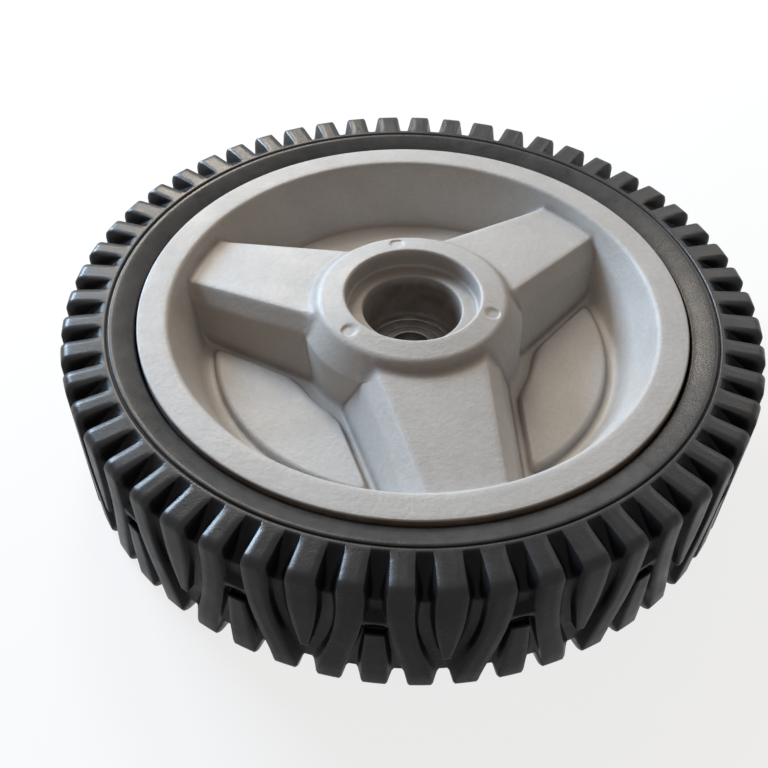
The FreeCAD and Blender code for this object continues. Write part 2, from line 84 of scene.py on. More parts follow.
def power(name, description, default):
    """A lamp's power that a user may change, in watts."""
    return FloatProperty(name=name, description=description, default=default, min=0.0,
                         unit="POWER", subtype="POWER")


def number(name, description, default, least):
    """A count that a user may change."""
    return IntProperty(name=name, description=description, default=default, min=least)


class TyreSettings(bpy.types.PropertyGroup):
    """Sizes and colour of the tyre."""

    tread_radius: size("Tread radius", "Axle to the face of the lugs", 101.55)
    width: size("Width", "From one flank to the other", (TYRE_HIGH.z - TYRE_LOW.z) / MM)
    lug_depth: size("Lug depth", "Lug face to the groove floor", 2.3)
    shoulder_radius: size("Shoulder radius", "Where the lugs leave the flank", 90.2)
    lug_corner: size("Lug corner", "Rounding from the flank to the tread face", 2.7)
    notch_slope: FloatProperty(name="Notch slope", default=0.69, min=0.1,
                               description="Fall of a notch's floor from the flank, per length of radius")
    flank_slope: turn("Flank slope", "Fall of the flank from its crest to the tread", 1.0)
    bead_dip: size("Bead dip", "Lug tops to the flank's edge beside the rim's lip", 2.3)
    crest_dip: size("Crest dip", "Lug tops to the flank's crest beside its line", 0.1)
    lug_wall: size("Lug wall", "How far a lug's foot stands out from its top", 0.5)
    wedge_width: size("Wedge width", "Wedge at the outer flank", 7.3)
    wedge_tip: size("Wedge tip", "Width of the wedge's tip", 2.2)
    wedge_length: size("Wedge length", "Outer flank to the wedge's tip", 29.5)
    leg_width: size("Leg width", "Width of a spreading leg", 6.4)
    leg_bend: size("Leg bend", "Outer flank to where a leg starts to spread", 16.0)
    foot_width: size("Foot wedge width", "Wedge that stands on the inner flank", 6.6)
    foot_tip: size("Foot wedge tip", "Width of the foot wedge's blunt end", 4.6)
    foot_length: size("Foot wedge length", "Inner flank to the foot wedge's end", 26.0)
    arch_gap: size("Arch gap", "Foot wedge's end to the web that joins the legs", 4.4)
    arch_radius: size("Arch radius", "Rounding of the web's edge over the foot wedge", 5.0)
    web_face: size("Web face", "Height of the web's upright edge at the arch", 1.2)
    web_depth: size("Web depth", "Outer flank to where the web leaves the groove floor", 7.0)
    web_drop: size("Web drop", "Lug face to the web's face", 0.4)
    line_radius: size("Flank line radius", "Thin line moulded round the flank", 88.3)
    bead_radius: size("Bead radius", "Inner edge of the flank, beside the rim's lip", 81.0)
    seat_radius: size("Seat radius", "Where the tyre sits on the rim", 80.4)
    channel_radius: size("Channel radius", "Top of the rib that locks into the rim", 77.4)
    channel_width: size("Channel width", "Width of the locking rib", 22.0)
    pitches: number("Pitches", "Repeats of the tread round the tyre", 18, 6)
    start: turn("Start", "Turn of the first leg pair from the near side", 17.0)
    colour: paint("Rubber", "Colour of the rubber", (0.0075, 0.0075, 0.009))
    dust: paint("Dust", "Colour of the dust on the flanks", (0.045, 0.044, 0.044))


class RimSettings(bpy.types.PropertyGroup):
    """Sizes and colours of the moulded rim."""

    face: size("Lip face", "Height of the lip's face", LIP_FACE)
    back: size("Back face", "Height of the rim's back edge", RIM_LOW.z / MM)
    radius: size("Lip radius", "Outer edge of the lip", 80.4)
    lip_width: size("Lip width", "Flat part of the lip", 8.7)
    dish_depth: size("Dish depth", "Lip face to the floor of the dish", 19.3)
    dish_floor: size("Dish floor radius", "Foot of the dish's sloping wall", 63.2)
    wall: size("Wall", "Thickness of the moulding", 3.5)
    channel_depth: size("Channel depth", "Depth of the tyre's channel", 3.0)
    channel_width: size("Channel width", "Width of the tyre's channel", 22.0)
    panel_outer: size("Panel outer radius", "Outer edge of the raised panels", 59.8)
    panel_inner: size("Panel inner radius", "Hub-side edge of the raised panels", 37.7)
    panel_raise: size("Panel raise", "Height of the panels above the floor", 1.9)
    panel_gap: size("Panel gap", "Spoke foot to panel edge", 2.4)
    spokes: number("Spokes", "Number of spokes", 3, 2)
    spoke_start: turn("Spoke start", "Turn of the first spoke from the near side", 13.6)
    spoke_hub_width: size("Spoke width at hub", "Flat top where it leaves the hub", 29.6)
    spoke_lip_width: size("Spoke width at lip", "Flat top where it meets the dish's wall", 20.2)
    spoke_hub_drop: size("Spoke drop at hub", "Lip face to the spoke's top at the hub", 1.5)
    spoke_lip_drop: size("Spoke drop at lip", "Lip face to the spoke's top at the lip", 5.0)
    bevel_width: size("Bevel width", "Sloping strip along a spoke's edge", 4.2)
    bevel_drop: size("Bevel drop", "Fall of the sloping strip", 4.5)
    foot_spread: size("Foot spread", "How far a spoke's wall leans out at the hub", 4.4)
    hub_proud: size("Hub proud", "Hub face above the lip face", HUB_PROUD)
    hub_face: size("Hub face radius", "Edge of the hub's face", 27.8)
    hub_dome: size("Hub dome", "Fall of the hub's face to its edge", 1.1)
    hub_radius: size("Hub radius", "Foot of the hub's cone", 33.0)
    hub_cone: size("Hub cone drop", "Height of the hub's cone", 8.6)
    cap_radius: size("Recess radius", "Step for a hub cap", 19.9)
    cap_depth: size("Recess depth", "Depth of the step", 6.0)
    bore_radius: size("Bore radius", "Hub bore above the bearing", 14.8)
    seat_radius: size("Bearing seat radius", "Bore that holds the bearings", 14.2875)
    stop_radius: size("Bearing stop radius", "Ring between the bearings", 12.3875)
    dimple_circle: size("Dimple circle radius", "Where the marks on the hub face lie", 24.4)
    dimple_radius: size("Dimple radius", "Size of a mark on the hub face", 2.5)
    dimple_depth: size("Dimple depth", "Depth of a mark on the hub face", 0.45)
    rib: size("Rib thickness", "Ribs on the hidden side", 2.5)
    rib_edge: size("Rib edge", "Broken edges of the ribs", 0.3)
    hub_ribs: number("Hub ribs", "Ribs between the hub and the bearing tube", 6, 1)
    lip_ribs: number("Lip ribs", "Ribs between the dish and the barrel", 12, 1)
    colour: paint("Moulding", "Colour of the moulding", (0.485, 0.468, 0.448))
    stain: paint("Stain", "Colour of the warm stains", (0.4, 0.34, 0.285))
    # Painted shade: the dark colour laid in corners, in the bore and in the gap beside the tyre.
    grime: paint("Grime", "Colour of the dirt in corners", (0.15, 0.122, 0.108))


class BearingSettings(bpy.types.PropertyGroup):
    """Sizes and colours of the ball bearings and the spacer."""

    axle_radius: size("Axle radius", "Bore of the inner rings", 6.35)
    inner_radius: size("Inner ring radius", "Outside of the inner ring's shoulder", 9.1343)
    outer_inner: size("Outer ring bore", "Inside of the outer ring's shoulder", 11.5033)
    outer_radius: size("Outer ring radius", "Outside of the outer ring", 14.2875)
    shield_outer: size("Shield radius", "Edge of the shield in its step", 12.2033)
    shield_gap: size("Shield gap", "Shield to inner ring", 0.2)
    shield_recess: size("Shield recess", "Ring face to shield", 0.4)
    shield_thickness: size("Shield thickness", "Sheet of the shield", 0.4)
    chamfer: size("Ring edge", "Broken edge of the rings", 0.4)
    spacer_radius: size("Spacer radius", "Outside of the spacer sleeve", 8.25)
    steel: paint("Steel", "Colour of the rings", (0.27, 0.245, 0.22))
    shield: paint("Shield", "Colour of the shields", (0.22, 0.2, 0.18))


class StageSettings(bpy.types.PropertyGroup):
    """Floor, lamps and camera."""

    floor_size: size("Floor size", "Side of the floor", 8000.0)
    floor_colour: paint("Floor", "Colour of the floor", (0.9, 0.9, 0.9))
    window_power: power("Window", "Lamp at the back left", 16.0)
    back_power: power("Back", "Lamp behind, a little to the left", 3.6)
    strip_power: power("Strip", "Small high lamp behind that gives the rubber its sheen", 1.9)
    side_power: power("Side", "Lamp at the back right", 1.1)
    window_light: paint("Window light", "Colour of the window's light", (0.6, 0.79, 1.0))
    lamp_light: paint("Lamp light", "Colour of the other lamps", (1.0, 0.9, 0.77))
    ambient: paint("Ambient", "Light from all round", (0.183, 0.142, 0.112))
    lens: FloatProperty(name="Lens", description="Focal length of the camera", default=46.33,
                        unit="CAMERA", subtype="DISTANCE_CAMERA")


def in_millimetres(settings):
    """Copy of the settings with every length in millimetres."""
    copy = SimpleNamespace()
    for entry in settings.bl_rna.properties:
        value = getattr(settings, entry.identifier)
        setattr(copy, entry.identifier, value / MM if entry.unit == "LENGTH" else value)
    return copy


def soft_max(a, b, k):
    """The larger of two values, with a parabola of width k where they cross, so edges come out rounded."""
    h = np.maximum(k - np.abs(a - b), 0.0) / k
    return np.maximum(a, b) + h * h * k / 4


def soft_min(a, b, k):
    """The smaller of two values, rounded where they cross."""
    return -soft_max(-a, -b, k)


def ease(t):
    """Smooth step from 0 to 1."""
    t = np.clip(t, 0.0, 1.0)
    return t * t * (3 - 2 * t)


def even(count):
    """Shares from 0 to one step short of 1, at even steps."""
    return np.arange(count) / count


def crowded(count):
    """Shares from 0 to one step short of 1, closer together near both ends."""
    return (1 - np.cos(np.pi * np.arange(count) / count)) / 2


def spread_lines(edges, counts, shares):
    """Grid lines from each edge to the next, row by row, at the shares of the way that a count gives."""
    parts = [edges[:, k:k + 1] + (edges[:, k + 1:k + 2] - edges[:, k:k + 1]) * shares(n)
             for k, n in enumerate(counts)]
    return np.concatenate(parts + [edges[:, -1:]], 1)


def mirrored(half, sign=1):
    """Grid on both sides of a middle line from the grid on one side."""
    return np.concatenate([sign * half[:, :0:-1], half[:, :-1]], 1)


def repeated(angle, start, count):
    """Angles of one repeat, laid out count times round the axle."""
    steps = start + np.arange(count) * 2 * np.pi / count
    return (angle[:, None, :] + steps[None, :, None]).reshape(len(angle), -1)


def rounded_profile(corners, extra):
    """Closed outline through (radius, z, fillet, share, step) corners in millimetres.

    Each corner is cut back by fillet over the tangent of half its angle and filled with an arc. The straight
    run after it is divided into parts no longer than step, with further points at the extra radii for that
    corner's number. The share is carried along by length. The result is radius, z, share and the number of
    the corner that each point follows.
    """
    side_share, arc_step, end_room, mark_room = 0.45, 18, 0.05, 0.25
    points = np.array([c[:2] for c in corners], float)
    ahead = np.roll(points, -1, 0) - points
    lengths = np.linalg.norm(ahead, axis=1)
    ahead = ahead / lengths[:, None]
    back = -np.roll(ahead, 1, 0)
    half = np.arccos(np.clip((ahead * back).sum(1), -1, 1)) / 2
    reach = np.array([c[2] for c in corners]) / np.tan(half)
    reach = np.minimum(reach, side_share * np.minimum(lengths, np.roll(lengths, 1)))
    radius = reach * np.tan(half)
    rows = []
    for i, corner in enumerate(corners):
        j = (i + 1) % len(corners)
        share, step = corner[3:]
        if reach[i] > 0:
            middle = (ahead[i] + back[i]) / np.linalg.norm(ahead[i] + back[i])
            centre = points[i] + middle * radius[i] / math.sin(half[i])
            first = points[i] + back[i] * reach[i] - centre
            last = points[i] + ahead[i] * reach[i] - centre
            sweep = math.pi - 2 * half[i]
            count = max(3, int(math.degrees(sweep) / arc_step))
            t = np.linspace(0, 1, count, endpoint=False)[:, None]
            arc = centre + (np.sin((1 - t) * sweep) * first + np.sin(t * sweep) * last) / math.sin(sweep)
            rows.append(np.column_stack([arc, np.full(count, share), np.full(count, i)]))
        start, end = reach[i], lengths[i] - reach[j]
        places = np.linspace(start, end, max(1, math.ceil((end - start) / step)), endpoint=False)
        if i in extra:
            marks = (extra[i] - points[i][0]) / ahead[i][0]
            marks = marks[(marks > start + end_room) & (marks < end - end_room)]
            near = np.abs(places[:, None] - marks[None, :]).min(1)
            places = np.sort(np.concatenate([places[near > mark_room], marks]))
        run = points[i] + places[:, None] * ahead[i]
        along = share + (corners[j][3] - share) * places / lengths[i]
        rows.append(np.column_stack([run, along, np.full(len(run), i)]))
    rows = np.concatenate(rows)
    return rows[:, 0], rows[:, 1], rows[:, 2], rows[:, 3]


def add_mesh(name, vertices, faces, material):
    """Object at the origin from vertices in millimetres."""
    mesh = bpy.data.meshes.new(name)
    mesh.from_pydata((vertices * MM).tolist(), [], faces)
    mesh.materials.append(material)
    piece = bpy.data.objects.new(name, mesh)
    bpy.context.scene.collection.objects.link(piece)
    return piece


def make_piece(name, points, material, **fields):
    """Mesh from a grid of points that closes on itself in both directions, with its faces turned outwards.

    Fields are arrays on the same grid, kept as point attributes for the material.
    """
    rows, columns = points.shape[:2]
    i, j = np.meshgrid(np.arange(rows), np.arange(columns), indexing="ij")
    row, next_row, j2 = i * columns, (i + 1) % rows * columns, (j + 1) % columns
    quads = np.stack([row + j, row + j2, next_row + j2, next_row + j], -1).reshape(-1, 4)
    vertices = points.reshape(-1, 3)
    a, b, c, d = (vertices[quads[:, k]] for k in range(4))
    volume = (np.cross(a, b) * c).sum() + (np.cross(a, c) * d).sum()
    if volume < 0:
        quads = quads[:, ::-1]
    piece = add_mesh(name, vertices, quads.tolist(), material)
    piece.data.polygons.foreach_set("use_smooth", np.ones(len(quads), bool))
    for field, values in fields.items():
        attribute = piece.data.attributes.new(field, "FLOAT", "POINT")
        attribute.data.foreach_set("value", values.ravel().astype(np.float32))
    piece.data.update()
    return piece


def around(radius, z, angle):
    """Points at a radius, height and angle, with the angle counted from -Y, anticlockwise from above."""
    return np.stack([radius * np.sin(angle), -radius * np.cos(angle), np.broadcast_to(z, angle.shape)], -1)


def lathe(name, corners, material):
    """Profile turned about the axle at even steps."""
    columns = 96
    radius, z = rounded_profile([c + (0.0, 2.0) for c in corners], {})[:2]
    angle = np.broadcast_to(np.arange(columns) * 2 * np.pi / columns, (len(radius), columns))
    return make_piece(name, around(radius[:, None], z[:, None], angle), material)


def lug_wall(distance, spread):
    """Height share of a lug outside its top edge: a straight wall, rounded at the top and at the foot."""
    straight = 1 - distance / spread
    return np.clip(soft_max(soft_min(straight, 1.0, 0.32), 0.0, 0.42), 0.0, 1.0)


def wedge_wall(beside, past, spread):
    """Height share of a wedge from the distances beside its edge and past its end."""
    inside = np.maximum(beside, past)
    outside = np.hypot(np.maximum(beside, 0), np.maximum(past, 0))
    return lug_wall(np.where(inside > 0, outside, inside), spread)


def tyre_rows(s):
    """Outline of the tyre as two lines, row by row: the body under the lugs and the outside of the lugs.

    The result is body radius and z, lug radius and z in millimetres, and a flag for the rows that carry lugs.
    """
    width, tread = s.width, s.tread_radius
    groove, shoulder = tread - s.lug_depth, s.shoulder_radius
    corner, line, bead = s.lug_corner, s.line_radius, s.bead_radius
    seat, channel = s.seat_radius, s.channel_radius
    dip, crest, fall_off = s.bead_dip, s.crest_dip, math.tan(s.flank_slope)
    bead_foot, line_floor = width - 4.4, width - 0.9
    t = np.linspace(0, 1, 8)
    rise = crest + (dip - crest) * (1 - t) ** 1.15
    upper = np.concatenate([
        [(seat, bead_foot), (bead, bead_foot), (bead, width - dip - 0.9), (bead + 0.1, width - dip - 0.4),
         (bead + 0.35, width - dip - 0.1)],
        np.column_stack([np.linspace(bead + 0.75, line - 0.4, len(t)), width - rise]),
        [(line - 0.18, width - crest - 0.1), (line - 0.04, width - crest - 0.3), (line + 0.1, line_floor),
         (line + 0.3, line_floor), (line + 0.44, width - 0.55), (line + 0.55, width - 0.22),
         (line + 0.8, width - 0.03), (line + 1.2, width)],
    ])
    bend = np.linspace(math.pi / 2 - s.flank_slope, 0, len(t))[1:]
    edge = tread - corner + corner * math.sin(s.flank_slope)
    corner_z = width - fall_off * (edge - shoulder) - corner * math.cos(s.flank_slope)
    top_r = np.concatenate([shoulder + (edge - shoulder) * t, tread - corner + corner * np.cos(bend)])
    top_z = np.concatenate([width - fall_off * (edge - shoulder) * t, corner_z + corner * np.sin(bend)])
    notch, past_notch = 0.78, 0.46
    drop = (groove - shoulder) * np.concatenate([notch * t, notch + past_notch * t[1:]])
    foot_r = soft_min(shoulder + drop, groove, 0.6)
    foot_r[0] = shoulder
    foot_z = width - drop * s.notch_slope
    end, tip = s.foot_length, width - s.wedge_length
    arch = end + s.arch_gap
    # Rows lie close together where the web, the foot wedge and the wedge end.
    marks = np.concatenate([
        np.linspace(width - s.web_depth + 1.0, arch + s.web_face + 0.6, 6),
        arch + np.array([1.2, 0.8, 0.4, 0.1, -0.2, -0.5, -1.0]),
        end + np.array([1.3, 1.0, 0.7, 0.4, 0.1, -0.2, -0.6, -2.2, -4.2, -6.4, -8.6]),
        tip + np.array([0.7, 0.3, -0.05, -0.4, -0.8, -1.2, -4.0, -7.0]),
        [width - corner_z],
    ])
    marks = np.sort(marks)[::-1]
    narrowing = (2 * foot_z[-1] - width) / (2 * corner_z - width)
    floor_marks = width / 2 + (marks - width / 2) * narrowing
    rib_r = [seat, channel, channel, channel, seat]
    rib_z = width / 2 + s.channel_width / 2 * np.array([-1, -1, 0, 1, 1])

    def radii(flank, face):
        """Radii from the upper bead round the tread to the locking rib."""
        across = np.full(len(marks), face)
        return np.concatenate([upper[:, 0], flank, across, flank[-2::-1], upper[::-1, 0], rib_r])

    def heights(flank, across):
        """Heights of the same rows."""
        lower = width - np.concatenate([flank[-2::-1], upper[::-1, 1]])
        return np.concatenate([upper[:, 1], flank, across, lower, rib_z])

    body_r = radii(foot_r, groove)
    lugged = np.zeros(len(body_r), bool)
    lugged[len(upper):-len(upper) - len(rib_z)] = True
    return body_r, heights(foot_z, floor_marks), radii(top_r, tread), heights(top_z, marks), lugged


def apart(a, b):
    """Two grid lines; where they come too close or cross, both go to the valley between them."""
    close, valley = a > b - 0.1, (a + b) / 2
    return np.where(close, valley - 0.05, a), np.where(close, valley + 0.05, b)


def tread_columns(s, height, spread):
    """Places across half a pitch where grid lines run, in millimetres along the tread, row by row.

    A leg runs straight from the outer flank and bends through a parabola into its spread. The wedge's sides
    do the same. The lines follow the edges of the foot wedge, the leg and the wedge at each height, so that
    walls stay straight where the lugs slant. Where two walls meet before the groove floor, their lines share
    the valley between them.
    """
    width, pitch = s.width, 2 * np.pi * s.tread_radius / s.pitches
    half, half_leg = pitch / 2, s.leg_width / 2
    bend, spread_end = width - s.leg_bend, 4.0
    way = soft_max((bend - height) / (bend - spread_end), 0.0, 0.45)
    leg = pitch / 6 * (1 + np.minimum(way, 1.0))
    end, tip = s.foot_length, width - s.wedge_length
    taper = (s.wedge_width - s.wedge_tip) / s.wedge_length
    wedge = s.wedge_tip / 2 + np.maximum(height - tip, 0) * taper
    wedge = soft_min(wedge, s.wedge_width / 2, 1.2)
    foot = np.interp(height, [end / 2, end], [s.foot_width / 2, s.foot_tip / 2])
    margin = 0.35 * spread
    outer = spread + margin
    fade_start, fade, least = 4.5, 3.0, 0.1
    foot_there = least + (1 - least) * ease((end + fade_start - height) / fade)
    wedge_there = least + (1 - least) * ease((height - tip + fade_start) / fade)
    foot_base, leg_near = apart((foot + outer) * foot_there, leg - half_leg - outer)
    leg_far, wedge_base = apart(leg + half_leg + outer, half - (wedge + outer) * wedge_there)
    edges = np.stack([
        0 * leg, (foot - margin) * foot_there, foot_base,
        leg_near, leg - half_leg + margin, leg + half_leg - margin, leg_far,
        wedge_base, half - (wedge - margin) * wedge_there, half + 0 * leg,
    ], 1)
    return spread_lines(edges, (2, 4, 1, 4, 3, 4, 1, 4, 2), even), leg, foot, wedge


def tyre_surface(s):
    """Tyre as body line + share x (lug line - body line), on columns that follow the lug edges.

    The share is the largest of three lug heights. Each is a wall function of the distance outside that lug's
    edge, and the wedges take the distance past their ends into it too. Between the legs a web rises in a
    straight ramp from the groove floor to near the lug face, and falls off at the arch by the same function.
    """
    body_r, body_z, lug_r, lug_z, lugged = tyre_rows(s)
    width, tread, lug_depth = s.width, s.tread_radius, s.lug_depth
    depth = np.hypot(lug_r - body_r, lug_z - body_z)
    spread = np.maximum(s.lug_wall * depth / lug_depth, 0.3)
    height = np.where(lugged, lug_z, np.where(lug_z > width / 2, width, 0.0))
    lines, leg, foot, wedge = tread_columns(s, height, spread)
    across = mirrored(lines, -1)
    place = np.abs(across)
    height, spread, lugged = height[:, None], spread[:, None], lugged[:, None]
    leg, foot, wedge = leg[:, None], foot[:, None], wedge[:, None]
    end, tip = s.foot_length, width - s.wedge_length
    share = lug_wall(np.abs(place - leg) - s.leg_width / 2, spread)
    share = np.maximum(share, wedge_wall(place - foot, height - end, spread))
    share = np.maximum(share, wedge_wall(np.pi * tread / s.pitches - place - wedge, tip - height, spread))
    arch, ramp_foot = end + s.arch_gap, width - s.web_depth
    web_rise = lug_depth - s.web_drop
    web_slope = web_rise / (ramp_foot - arch - s.web_face)
    web = np.clip(np.minimum((ramp_foot - height) * web_slope, web_rise) / lug_depth, 0, 1)
    arch_line = arch - np.square(place) / (2 * s.arch_radius)
    web = web * lug_wall(arch_line - height, spread)
    share = np.maximum(share, np.where(place < leg, web, 0.0)) * lugged
    radius = body_r[:, None] + share * (lug_r - body_r)[:, None]
    z = body_z[:, None] + share * (lug_z - body_z)[:, None]
    flank_depth, flank_fade = 3.4, 2.0
    flank = ease((np.abs(z - width / 2) - width / 2 + flank_depth) / flank_fade)
    flank = flank * np.where(lugged, share, 1.0)
    radius, z, lug, flank = (np.tile(values, (1, s.pitches)) for values in (radius, z, share, flank))
    return around(radius, z, repeated(across / tread, s.start, s.pitches)), lug, flank


def rim_lines(s):
    """Straight lines of a spoke in plan and height, as (value on the axle, fall per millimetre) pairs."""
    hub, lip = s.hub_radius, s.radius - s.lip_width

    def line(at_hub, at_lip):
        slope = (at_hub - at_lip) / (lip - hub)
        return at_hub + slope * hub, slope

    floor_room = s.dish_depth - s.bevel_drop
    hub_room = floor_room - s.spoke_hub_drop
    lip_room = floor_room - s.spoke_lip_drop
    spread = s.foot_spread
    bevel_hub = s.spoke_hub_width / 2 + s.bevel_width
    bevel_lip = s.spoke_lip_width / 2 + s.bevel_width
    return {
        "top": line(s.spoke_hub_width / 2, s.spoke_lip_width / 2),
        "bevel": line(bevel_hub, bevel_lip),
        "foot": line(bevel_hub + spread, bevel_lip + spread * lip_room / hub_room),
        "height": line(s.face - s.spoke_hub_drop, s.face - s.spoke_lip_drop),
        "lean": spread / hub_room,
    }


def rim_levels(s):
    """Radii and heights that the rim's section and its ribs share, in millimetres."""
    face, back, wall = s.face, s.back, s.wall
    floor = face - s.dish_depth
    dish, lip = s.dish_floor, s.radius - s.lip_width
    slope = (lip - dish) / (face - floor)
    behind = dish + wall * math.hypot(1, slope)
    barrel = s.radius - s.channel_depth - wall
    shelf = barrel - 2.0
    hub_face = face + s.hub_proud
    return SimpleNamespace(
        face=face, back=back, wall=wall, floor=floor, under=floor - wall, dish=dish, lip=lip,
        dish_back=behind - slope * wall, barrel=barrel, shelf=shelf,
        pocket=min(floor + (shelf - behind) / slope, face - wall),
        hub=s.hub_radius, hub_face=hub_face, cone_foot=hub_face - s.hub_cone,
        cap=s.cap_radius, ledge=hub_face - s.cap_depth, tube=s.seat_radius + wall)


# Places in the list of rim_corners where named stretches of the section start.
RECESS, HUB_FACE, HUB_CONE, DISH_FLOOR, LIP_EDGE, UNDERSIDE, BACK_SEAT = 2, 4, 5, 7, 10, 19, 27


def rim_marks(s):
    """Extra radii across the marks on the hub face, the panels' edges and the ends of the spoke hollows."""
    near, end = np.array([-0.7, -0.45, -0.2, 0.05, 0.3, 0.6]), np.linspace(0, 1.5, 7)
    return {
        HUB_FACE: s.dimple_circle + np.linspace(-2.6, 2.6, 9),
        DISH_FLOOR: np.concatenate([s.panel_inner + near, s.panel_outer - near]),
        UNDERSIDE: np.concatenate([s.hub_radius + 0.1 + end, s.dish_floor - 1.2 + end]),
    }


def rim_corners(s):
    """Corners of the rim's turned section, in the form that rounded_profile takes.

    The share says how far the grid columns go over to even spacing round the wheel.
    """
    k = rim_levels(s)
    rim_edge, channel = s.radius, s.radius - s.channel_depth
    middle, half_channel = (TYRE_HIGH.z + TYRE_LOW.z) / 2 / MM, s.channel_width / 2
    face_edge, bore = s.hub_face, s.bore_radius
    seat, stop = s.seat_radius, s.stop_radius
    cone_slope = (s.hub_radius - s.hub_face) / s.hub_cone
    cone_wall = k.wall * math.hypot(1, cone_slope)
    hub_inner, hub_under, cap_outer = k.hub - k.wall, k.hub_face - k.wall, k.cap + k.wall
    cone_inner_foot = k.hub_face - (hub_inner - face_edge + cone_wall) / cone_slope
    out_top, out_bottom, in_top = OUTBOARD_HIGH.z / MM, OUTBOARD_LOW.z / MM, INBOARD_HIGH.z / MM
    return [
        (seat, out_top, 0, 1, 2.0),
        (bore, out_top, 0, 1, 3.0),
        (bore, k.ledge, 0.7, 1, 2.0),
        (k.cap, k.ledge, 1.0, 1, 2.0),
        (k.cap, k.hub_face, 0.9, 1, 1.5),
        (face_edge, k.hub_face - s.hub_dome, 2.6, 0, 1.4),
        (k.hub, k.cone_foot, 1.3, 0, 1.4),
        (k.hub + 0.4, k.floor, 1.8, 0, 1.6),
        (k.dish, k.floor, 3.0, 0, 1.5),
        (k.lip, k.face, 1.6, 0, 1.6),
        (rim_edge, k.face, 0.6, 1, 3.0),
        (rim_edge, middle + half_channel, 0, 1, 3.0),
        (channel, middle + half_channel, 0, 1, 12.0),
        (channel, middle - half_channel, 0, 1, 3.0),
        (rim_edge, middle - half_channel, 0, 1, 5.0),
        (rim_edge, k.back, 0.6, 1, 2.5),
        (k.barrel, k.back, 0.6, 1, 5.0),
        (k.barrel, k.pocket, 0.6, 0.6, 1.5),
        (k.shelf, k.pocket, 0.6, 0.6, 3.0),
        (k.dish_back, k.under, 2.5, 0, 1.6),
        (hub_inner, k.under, 0.6, 0, 3.0),
        (hub_inner, cone_inner_foot, 0.5, 0, 2.0),
        (face_edge + cone_slope * k.wall - cone_wall, hub_under, 0.6, 0.2, 1.5),
        (cap_outer, hub_under, 0.6, 0.4, 2.0),
        (cap_outer, k.ledge - k.wall, 0.6, 0.6, 2.5),
        (k.tube, k.ledge - k.wall, 0.6, 1, 6.0),
        (k.tube, k.back, 0.6, 1, 2.0),
        (seat, k.back, 0.3, 1, 6.0),
        (seat, in_top, 0, 1, 2.0),
        (stop, in_top, 0, 1, 4.0),
        (stop, out_bottom, 0, 1, 2.0),
        (seat, out_bottom, 0, 1, 6.0),
    ]


def rim_angles(s, radius, share):
    """Angle of each grid column from its spoke's middle line, row by row, up to halfway to the next one.

    A line y = a - b x along a spoke meets the circle of radius r at asin(a / (r sqrt(1 + b^2))) - atan(b).
    Columns are spread between these angles, and the share moves them to even steps where no spoke is.
    """
    lines = rim_lines(s)
    r = np.clip(radius, s.hub_radius + 0.4, s.radius - s.lip_width - 1.0)
    half, gap, least_turn = np.pi / s.spokes, s.panel_gap, 0.004
    edges = [0 * r]
    for name, shift in (("top", 0.0), ("bevel", 0.0), ("foot", -0.3), ("foot", 1.3), ("foot", gap - 0.3),
                        ("foot", gap + 1.1)):
        a, b = lines[name]
        edges.append(np.arcsin(np.clip((a + shift) / (r * math.hypot(1, b)), -1, 1)) - math.atan(b))
    edges = np.stack(edges + [np.full_like(r, half)], 1)
    edges = np.minimum(edges, half - np.arange(len(edges[0]))[::-1] * least_turn)
    counts = (8, 7, 10, 5, 3, 6, 21)
    columns = spread_lines(edges, counts, crowded)
    return columns + share[:, None] * (np.linspace(0, half, sum(counts) + 1) - columns)


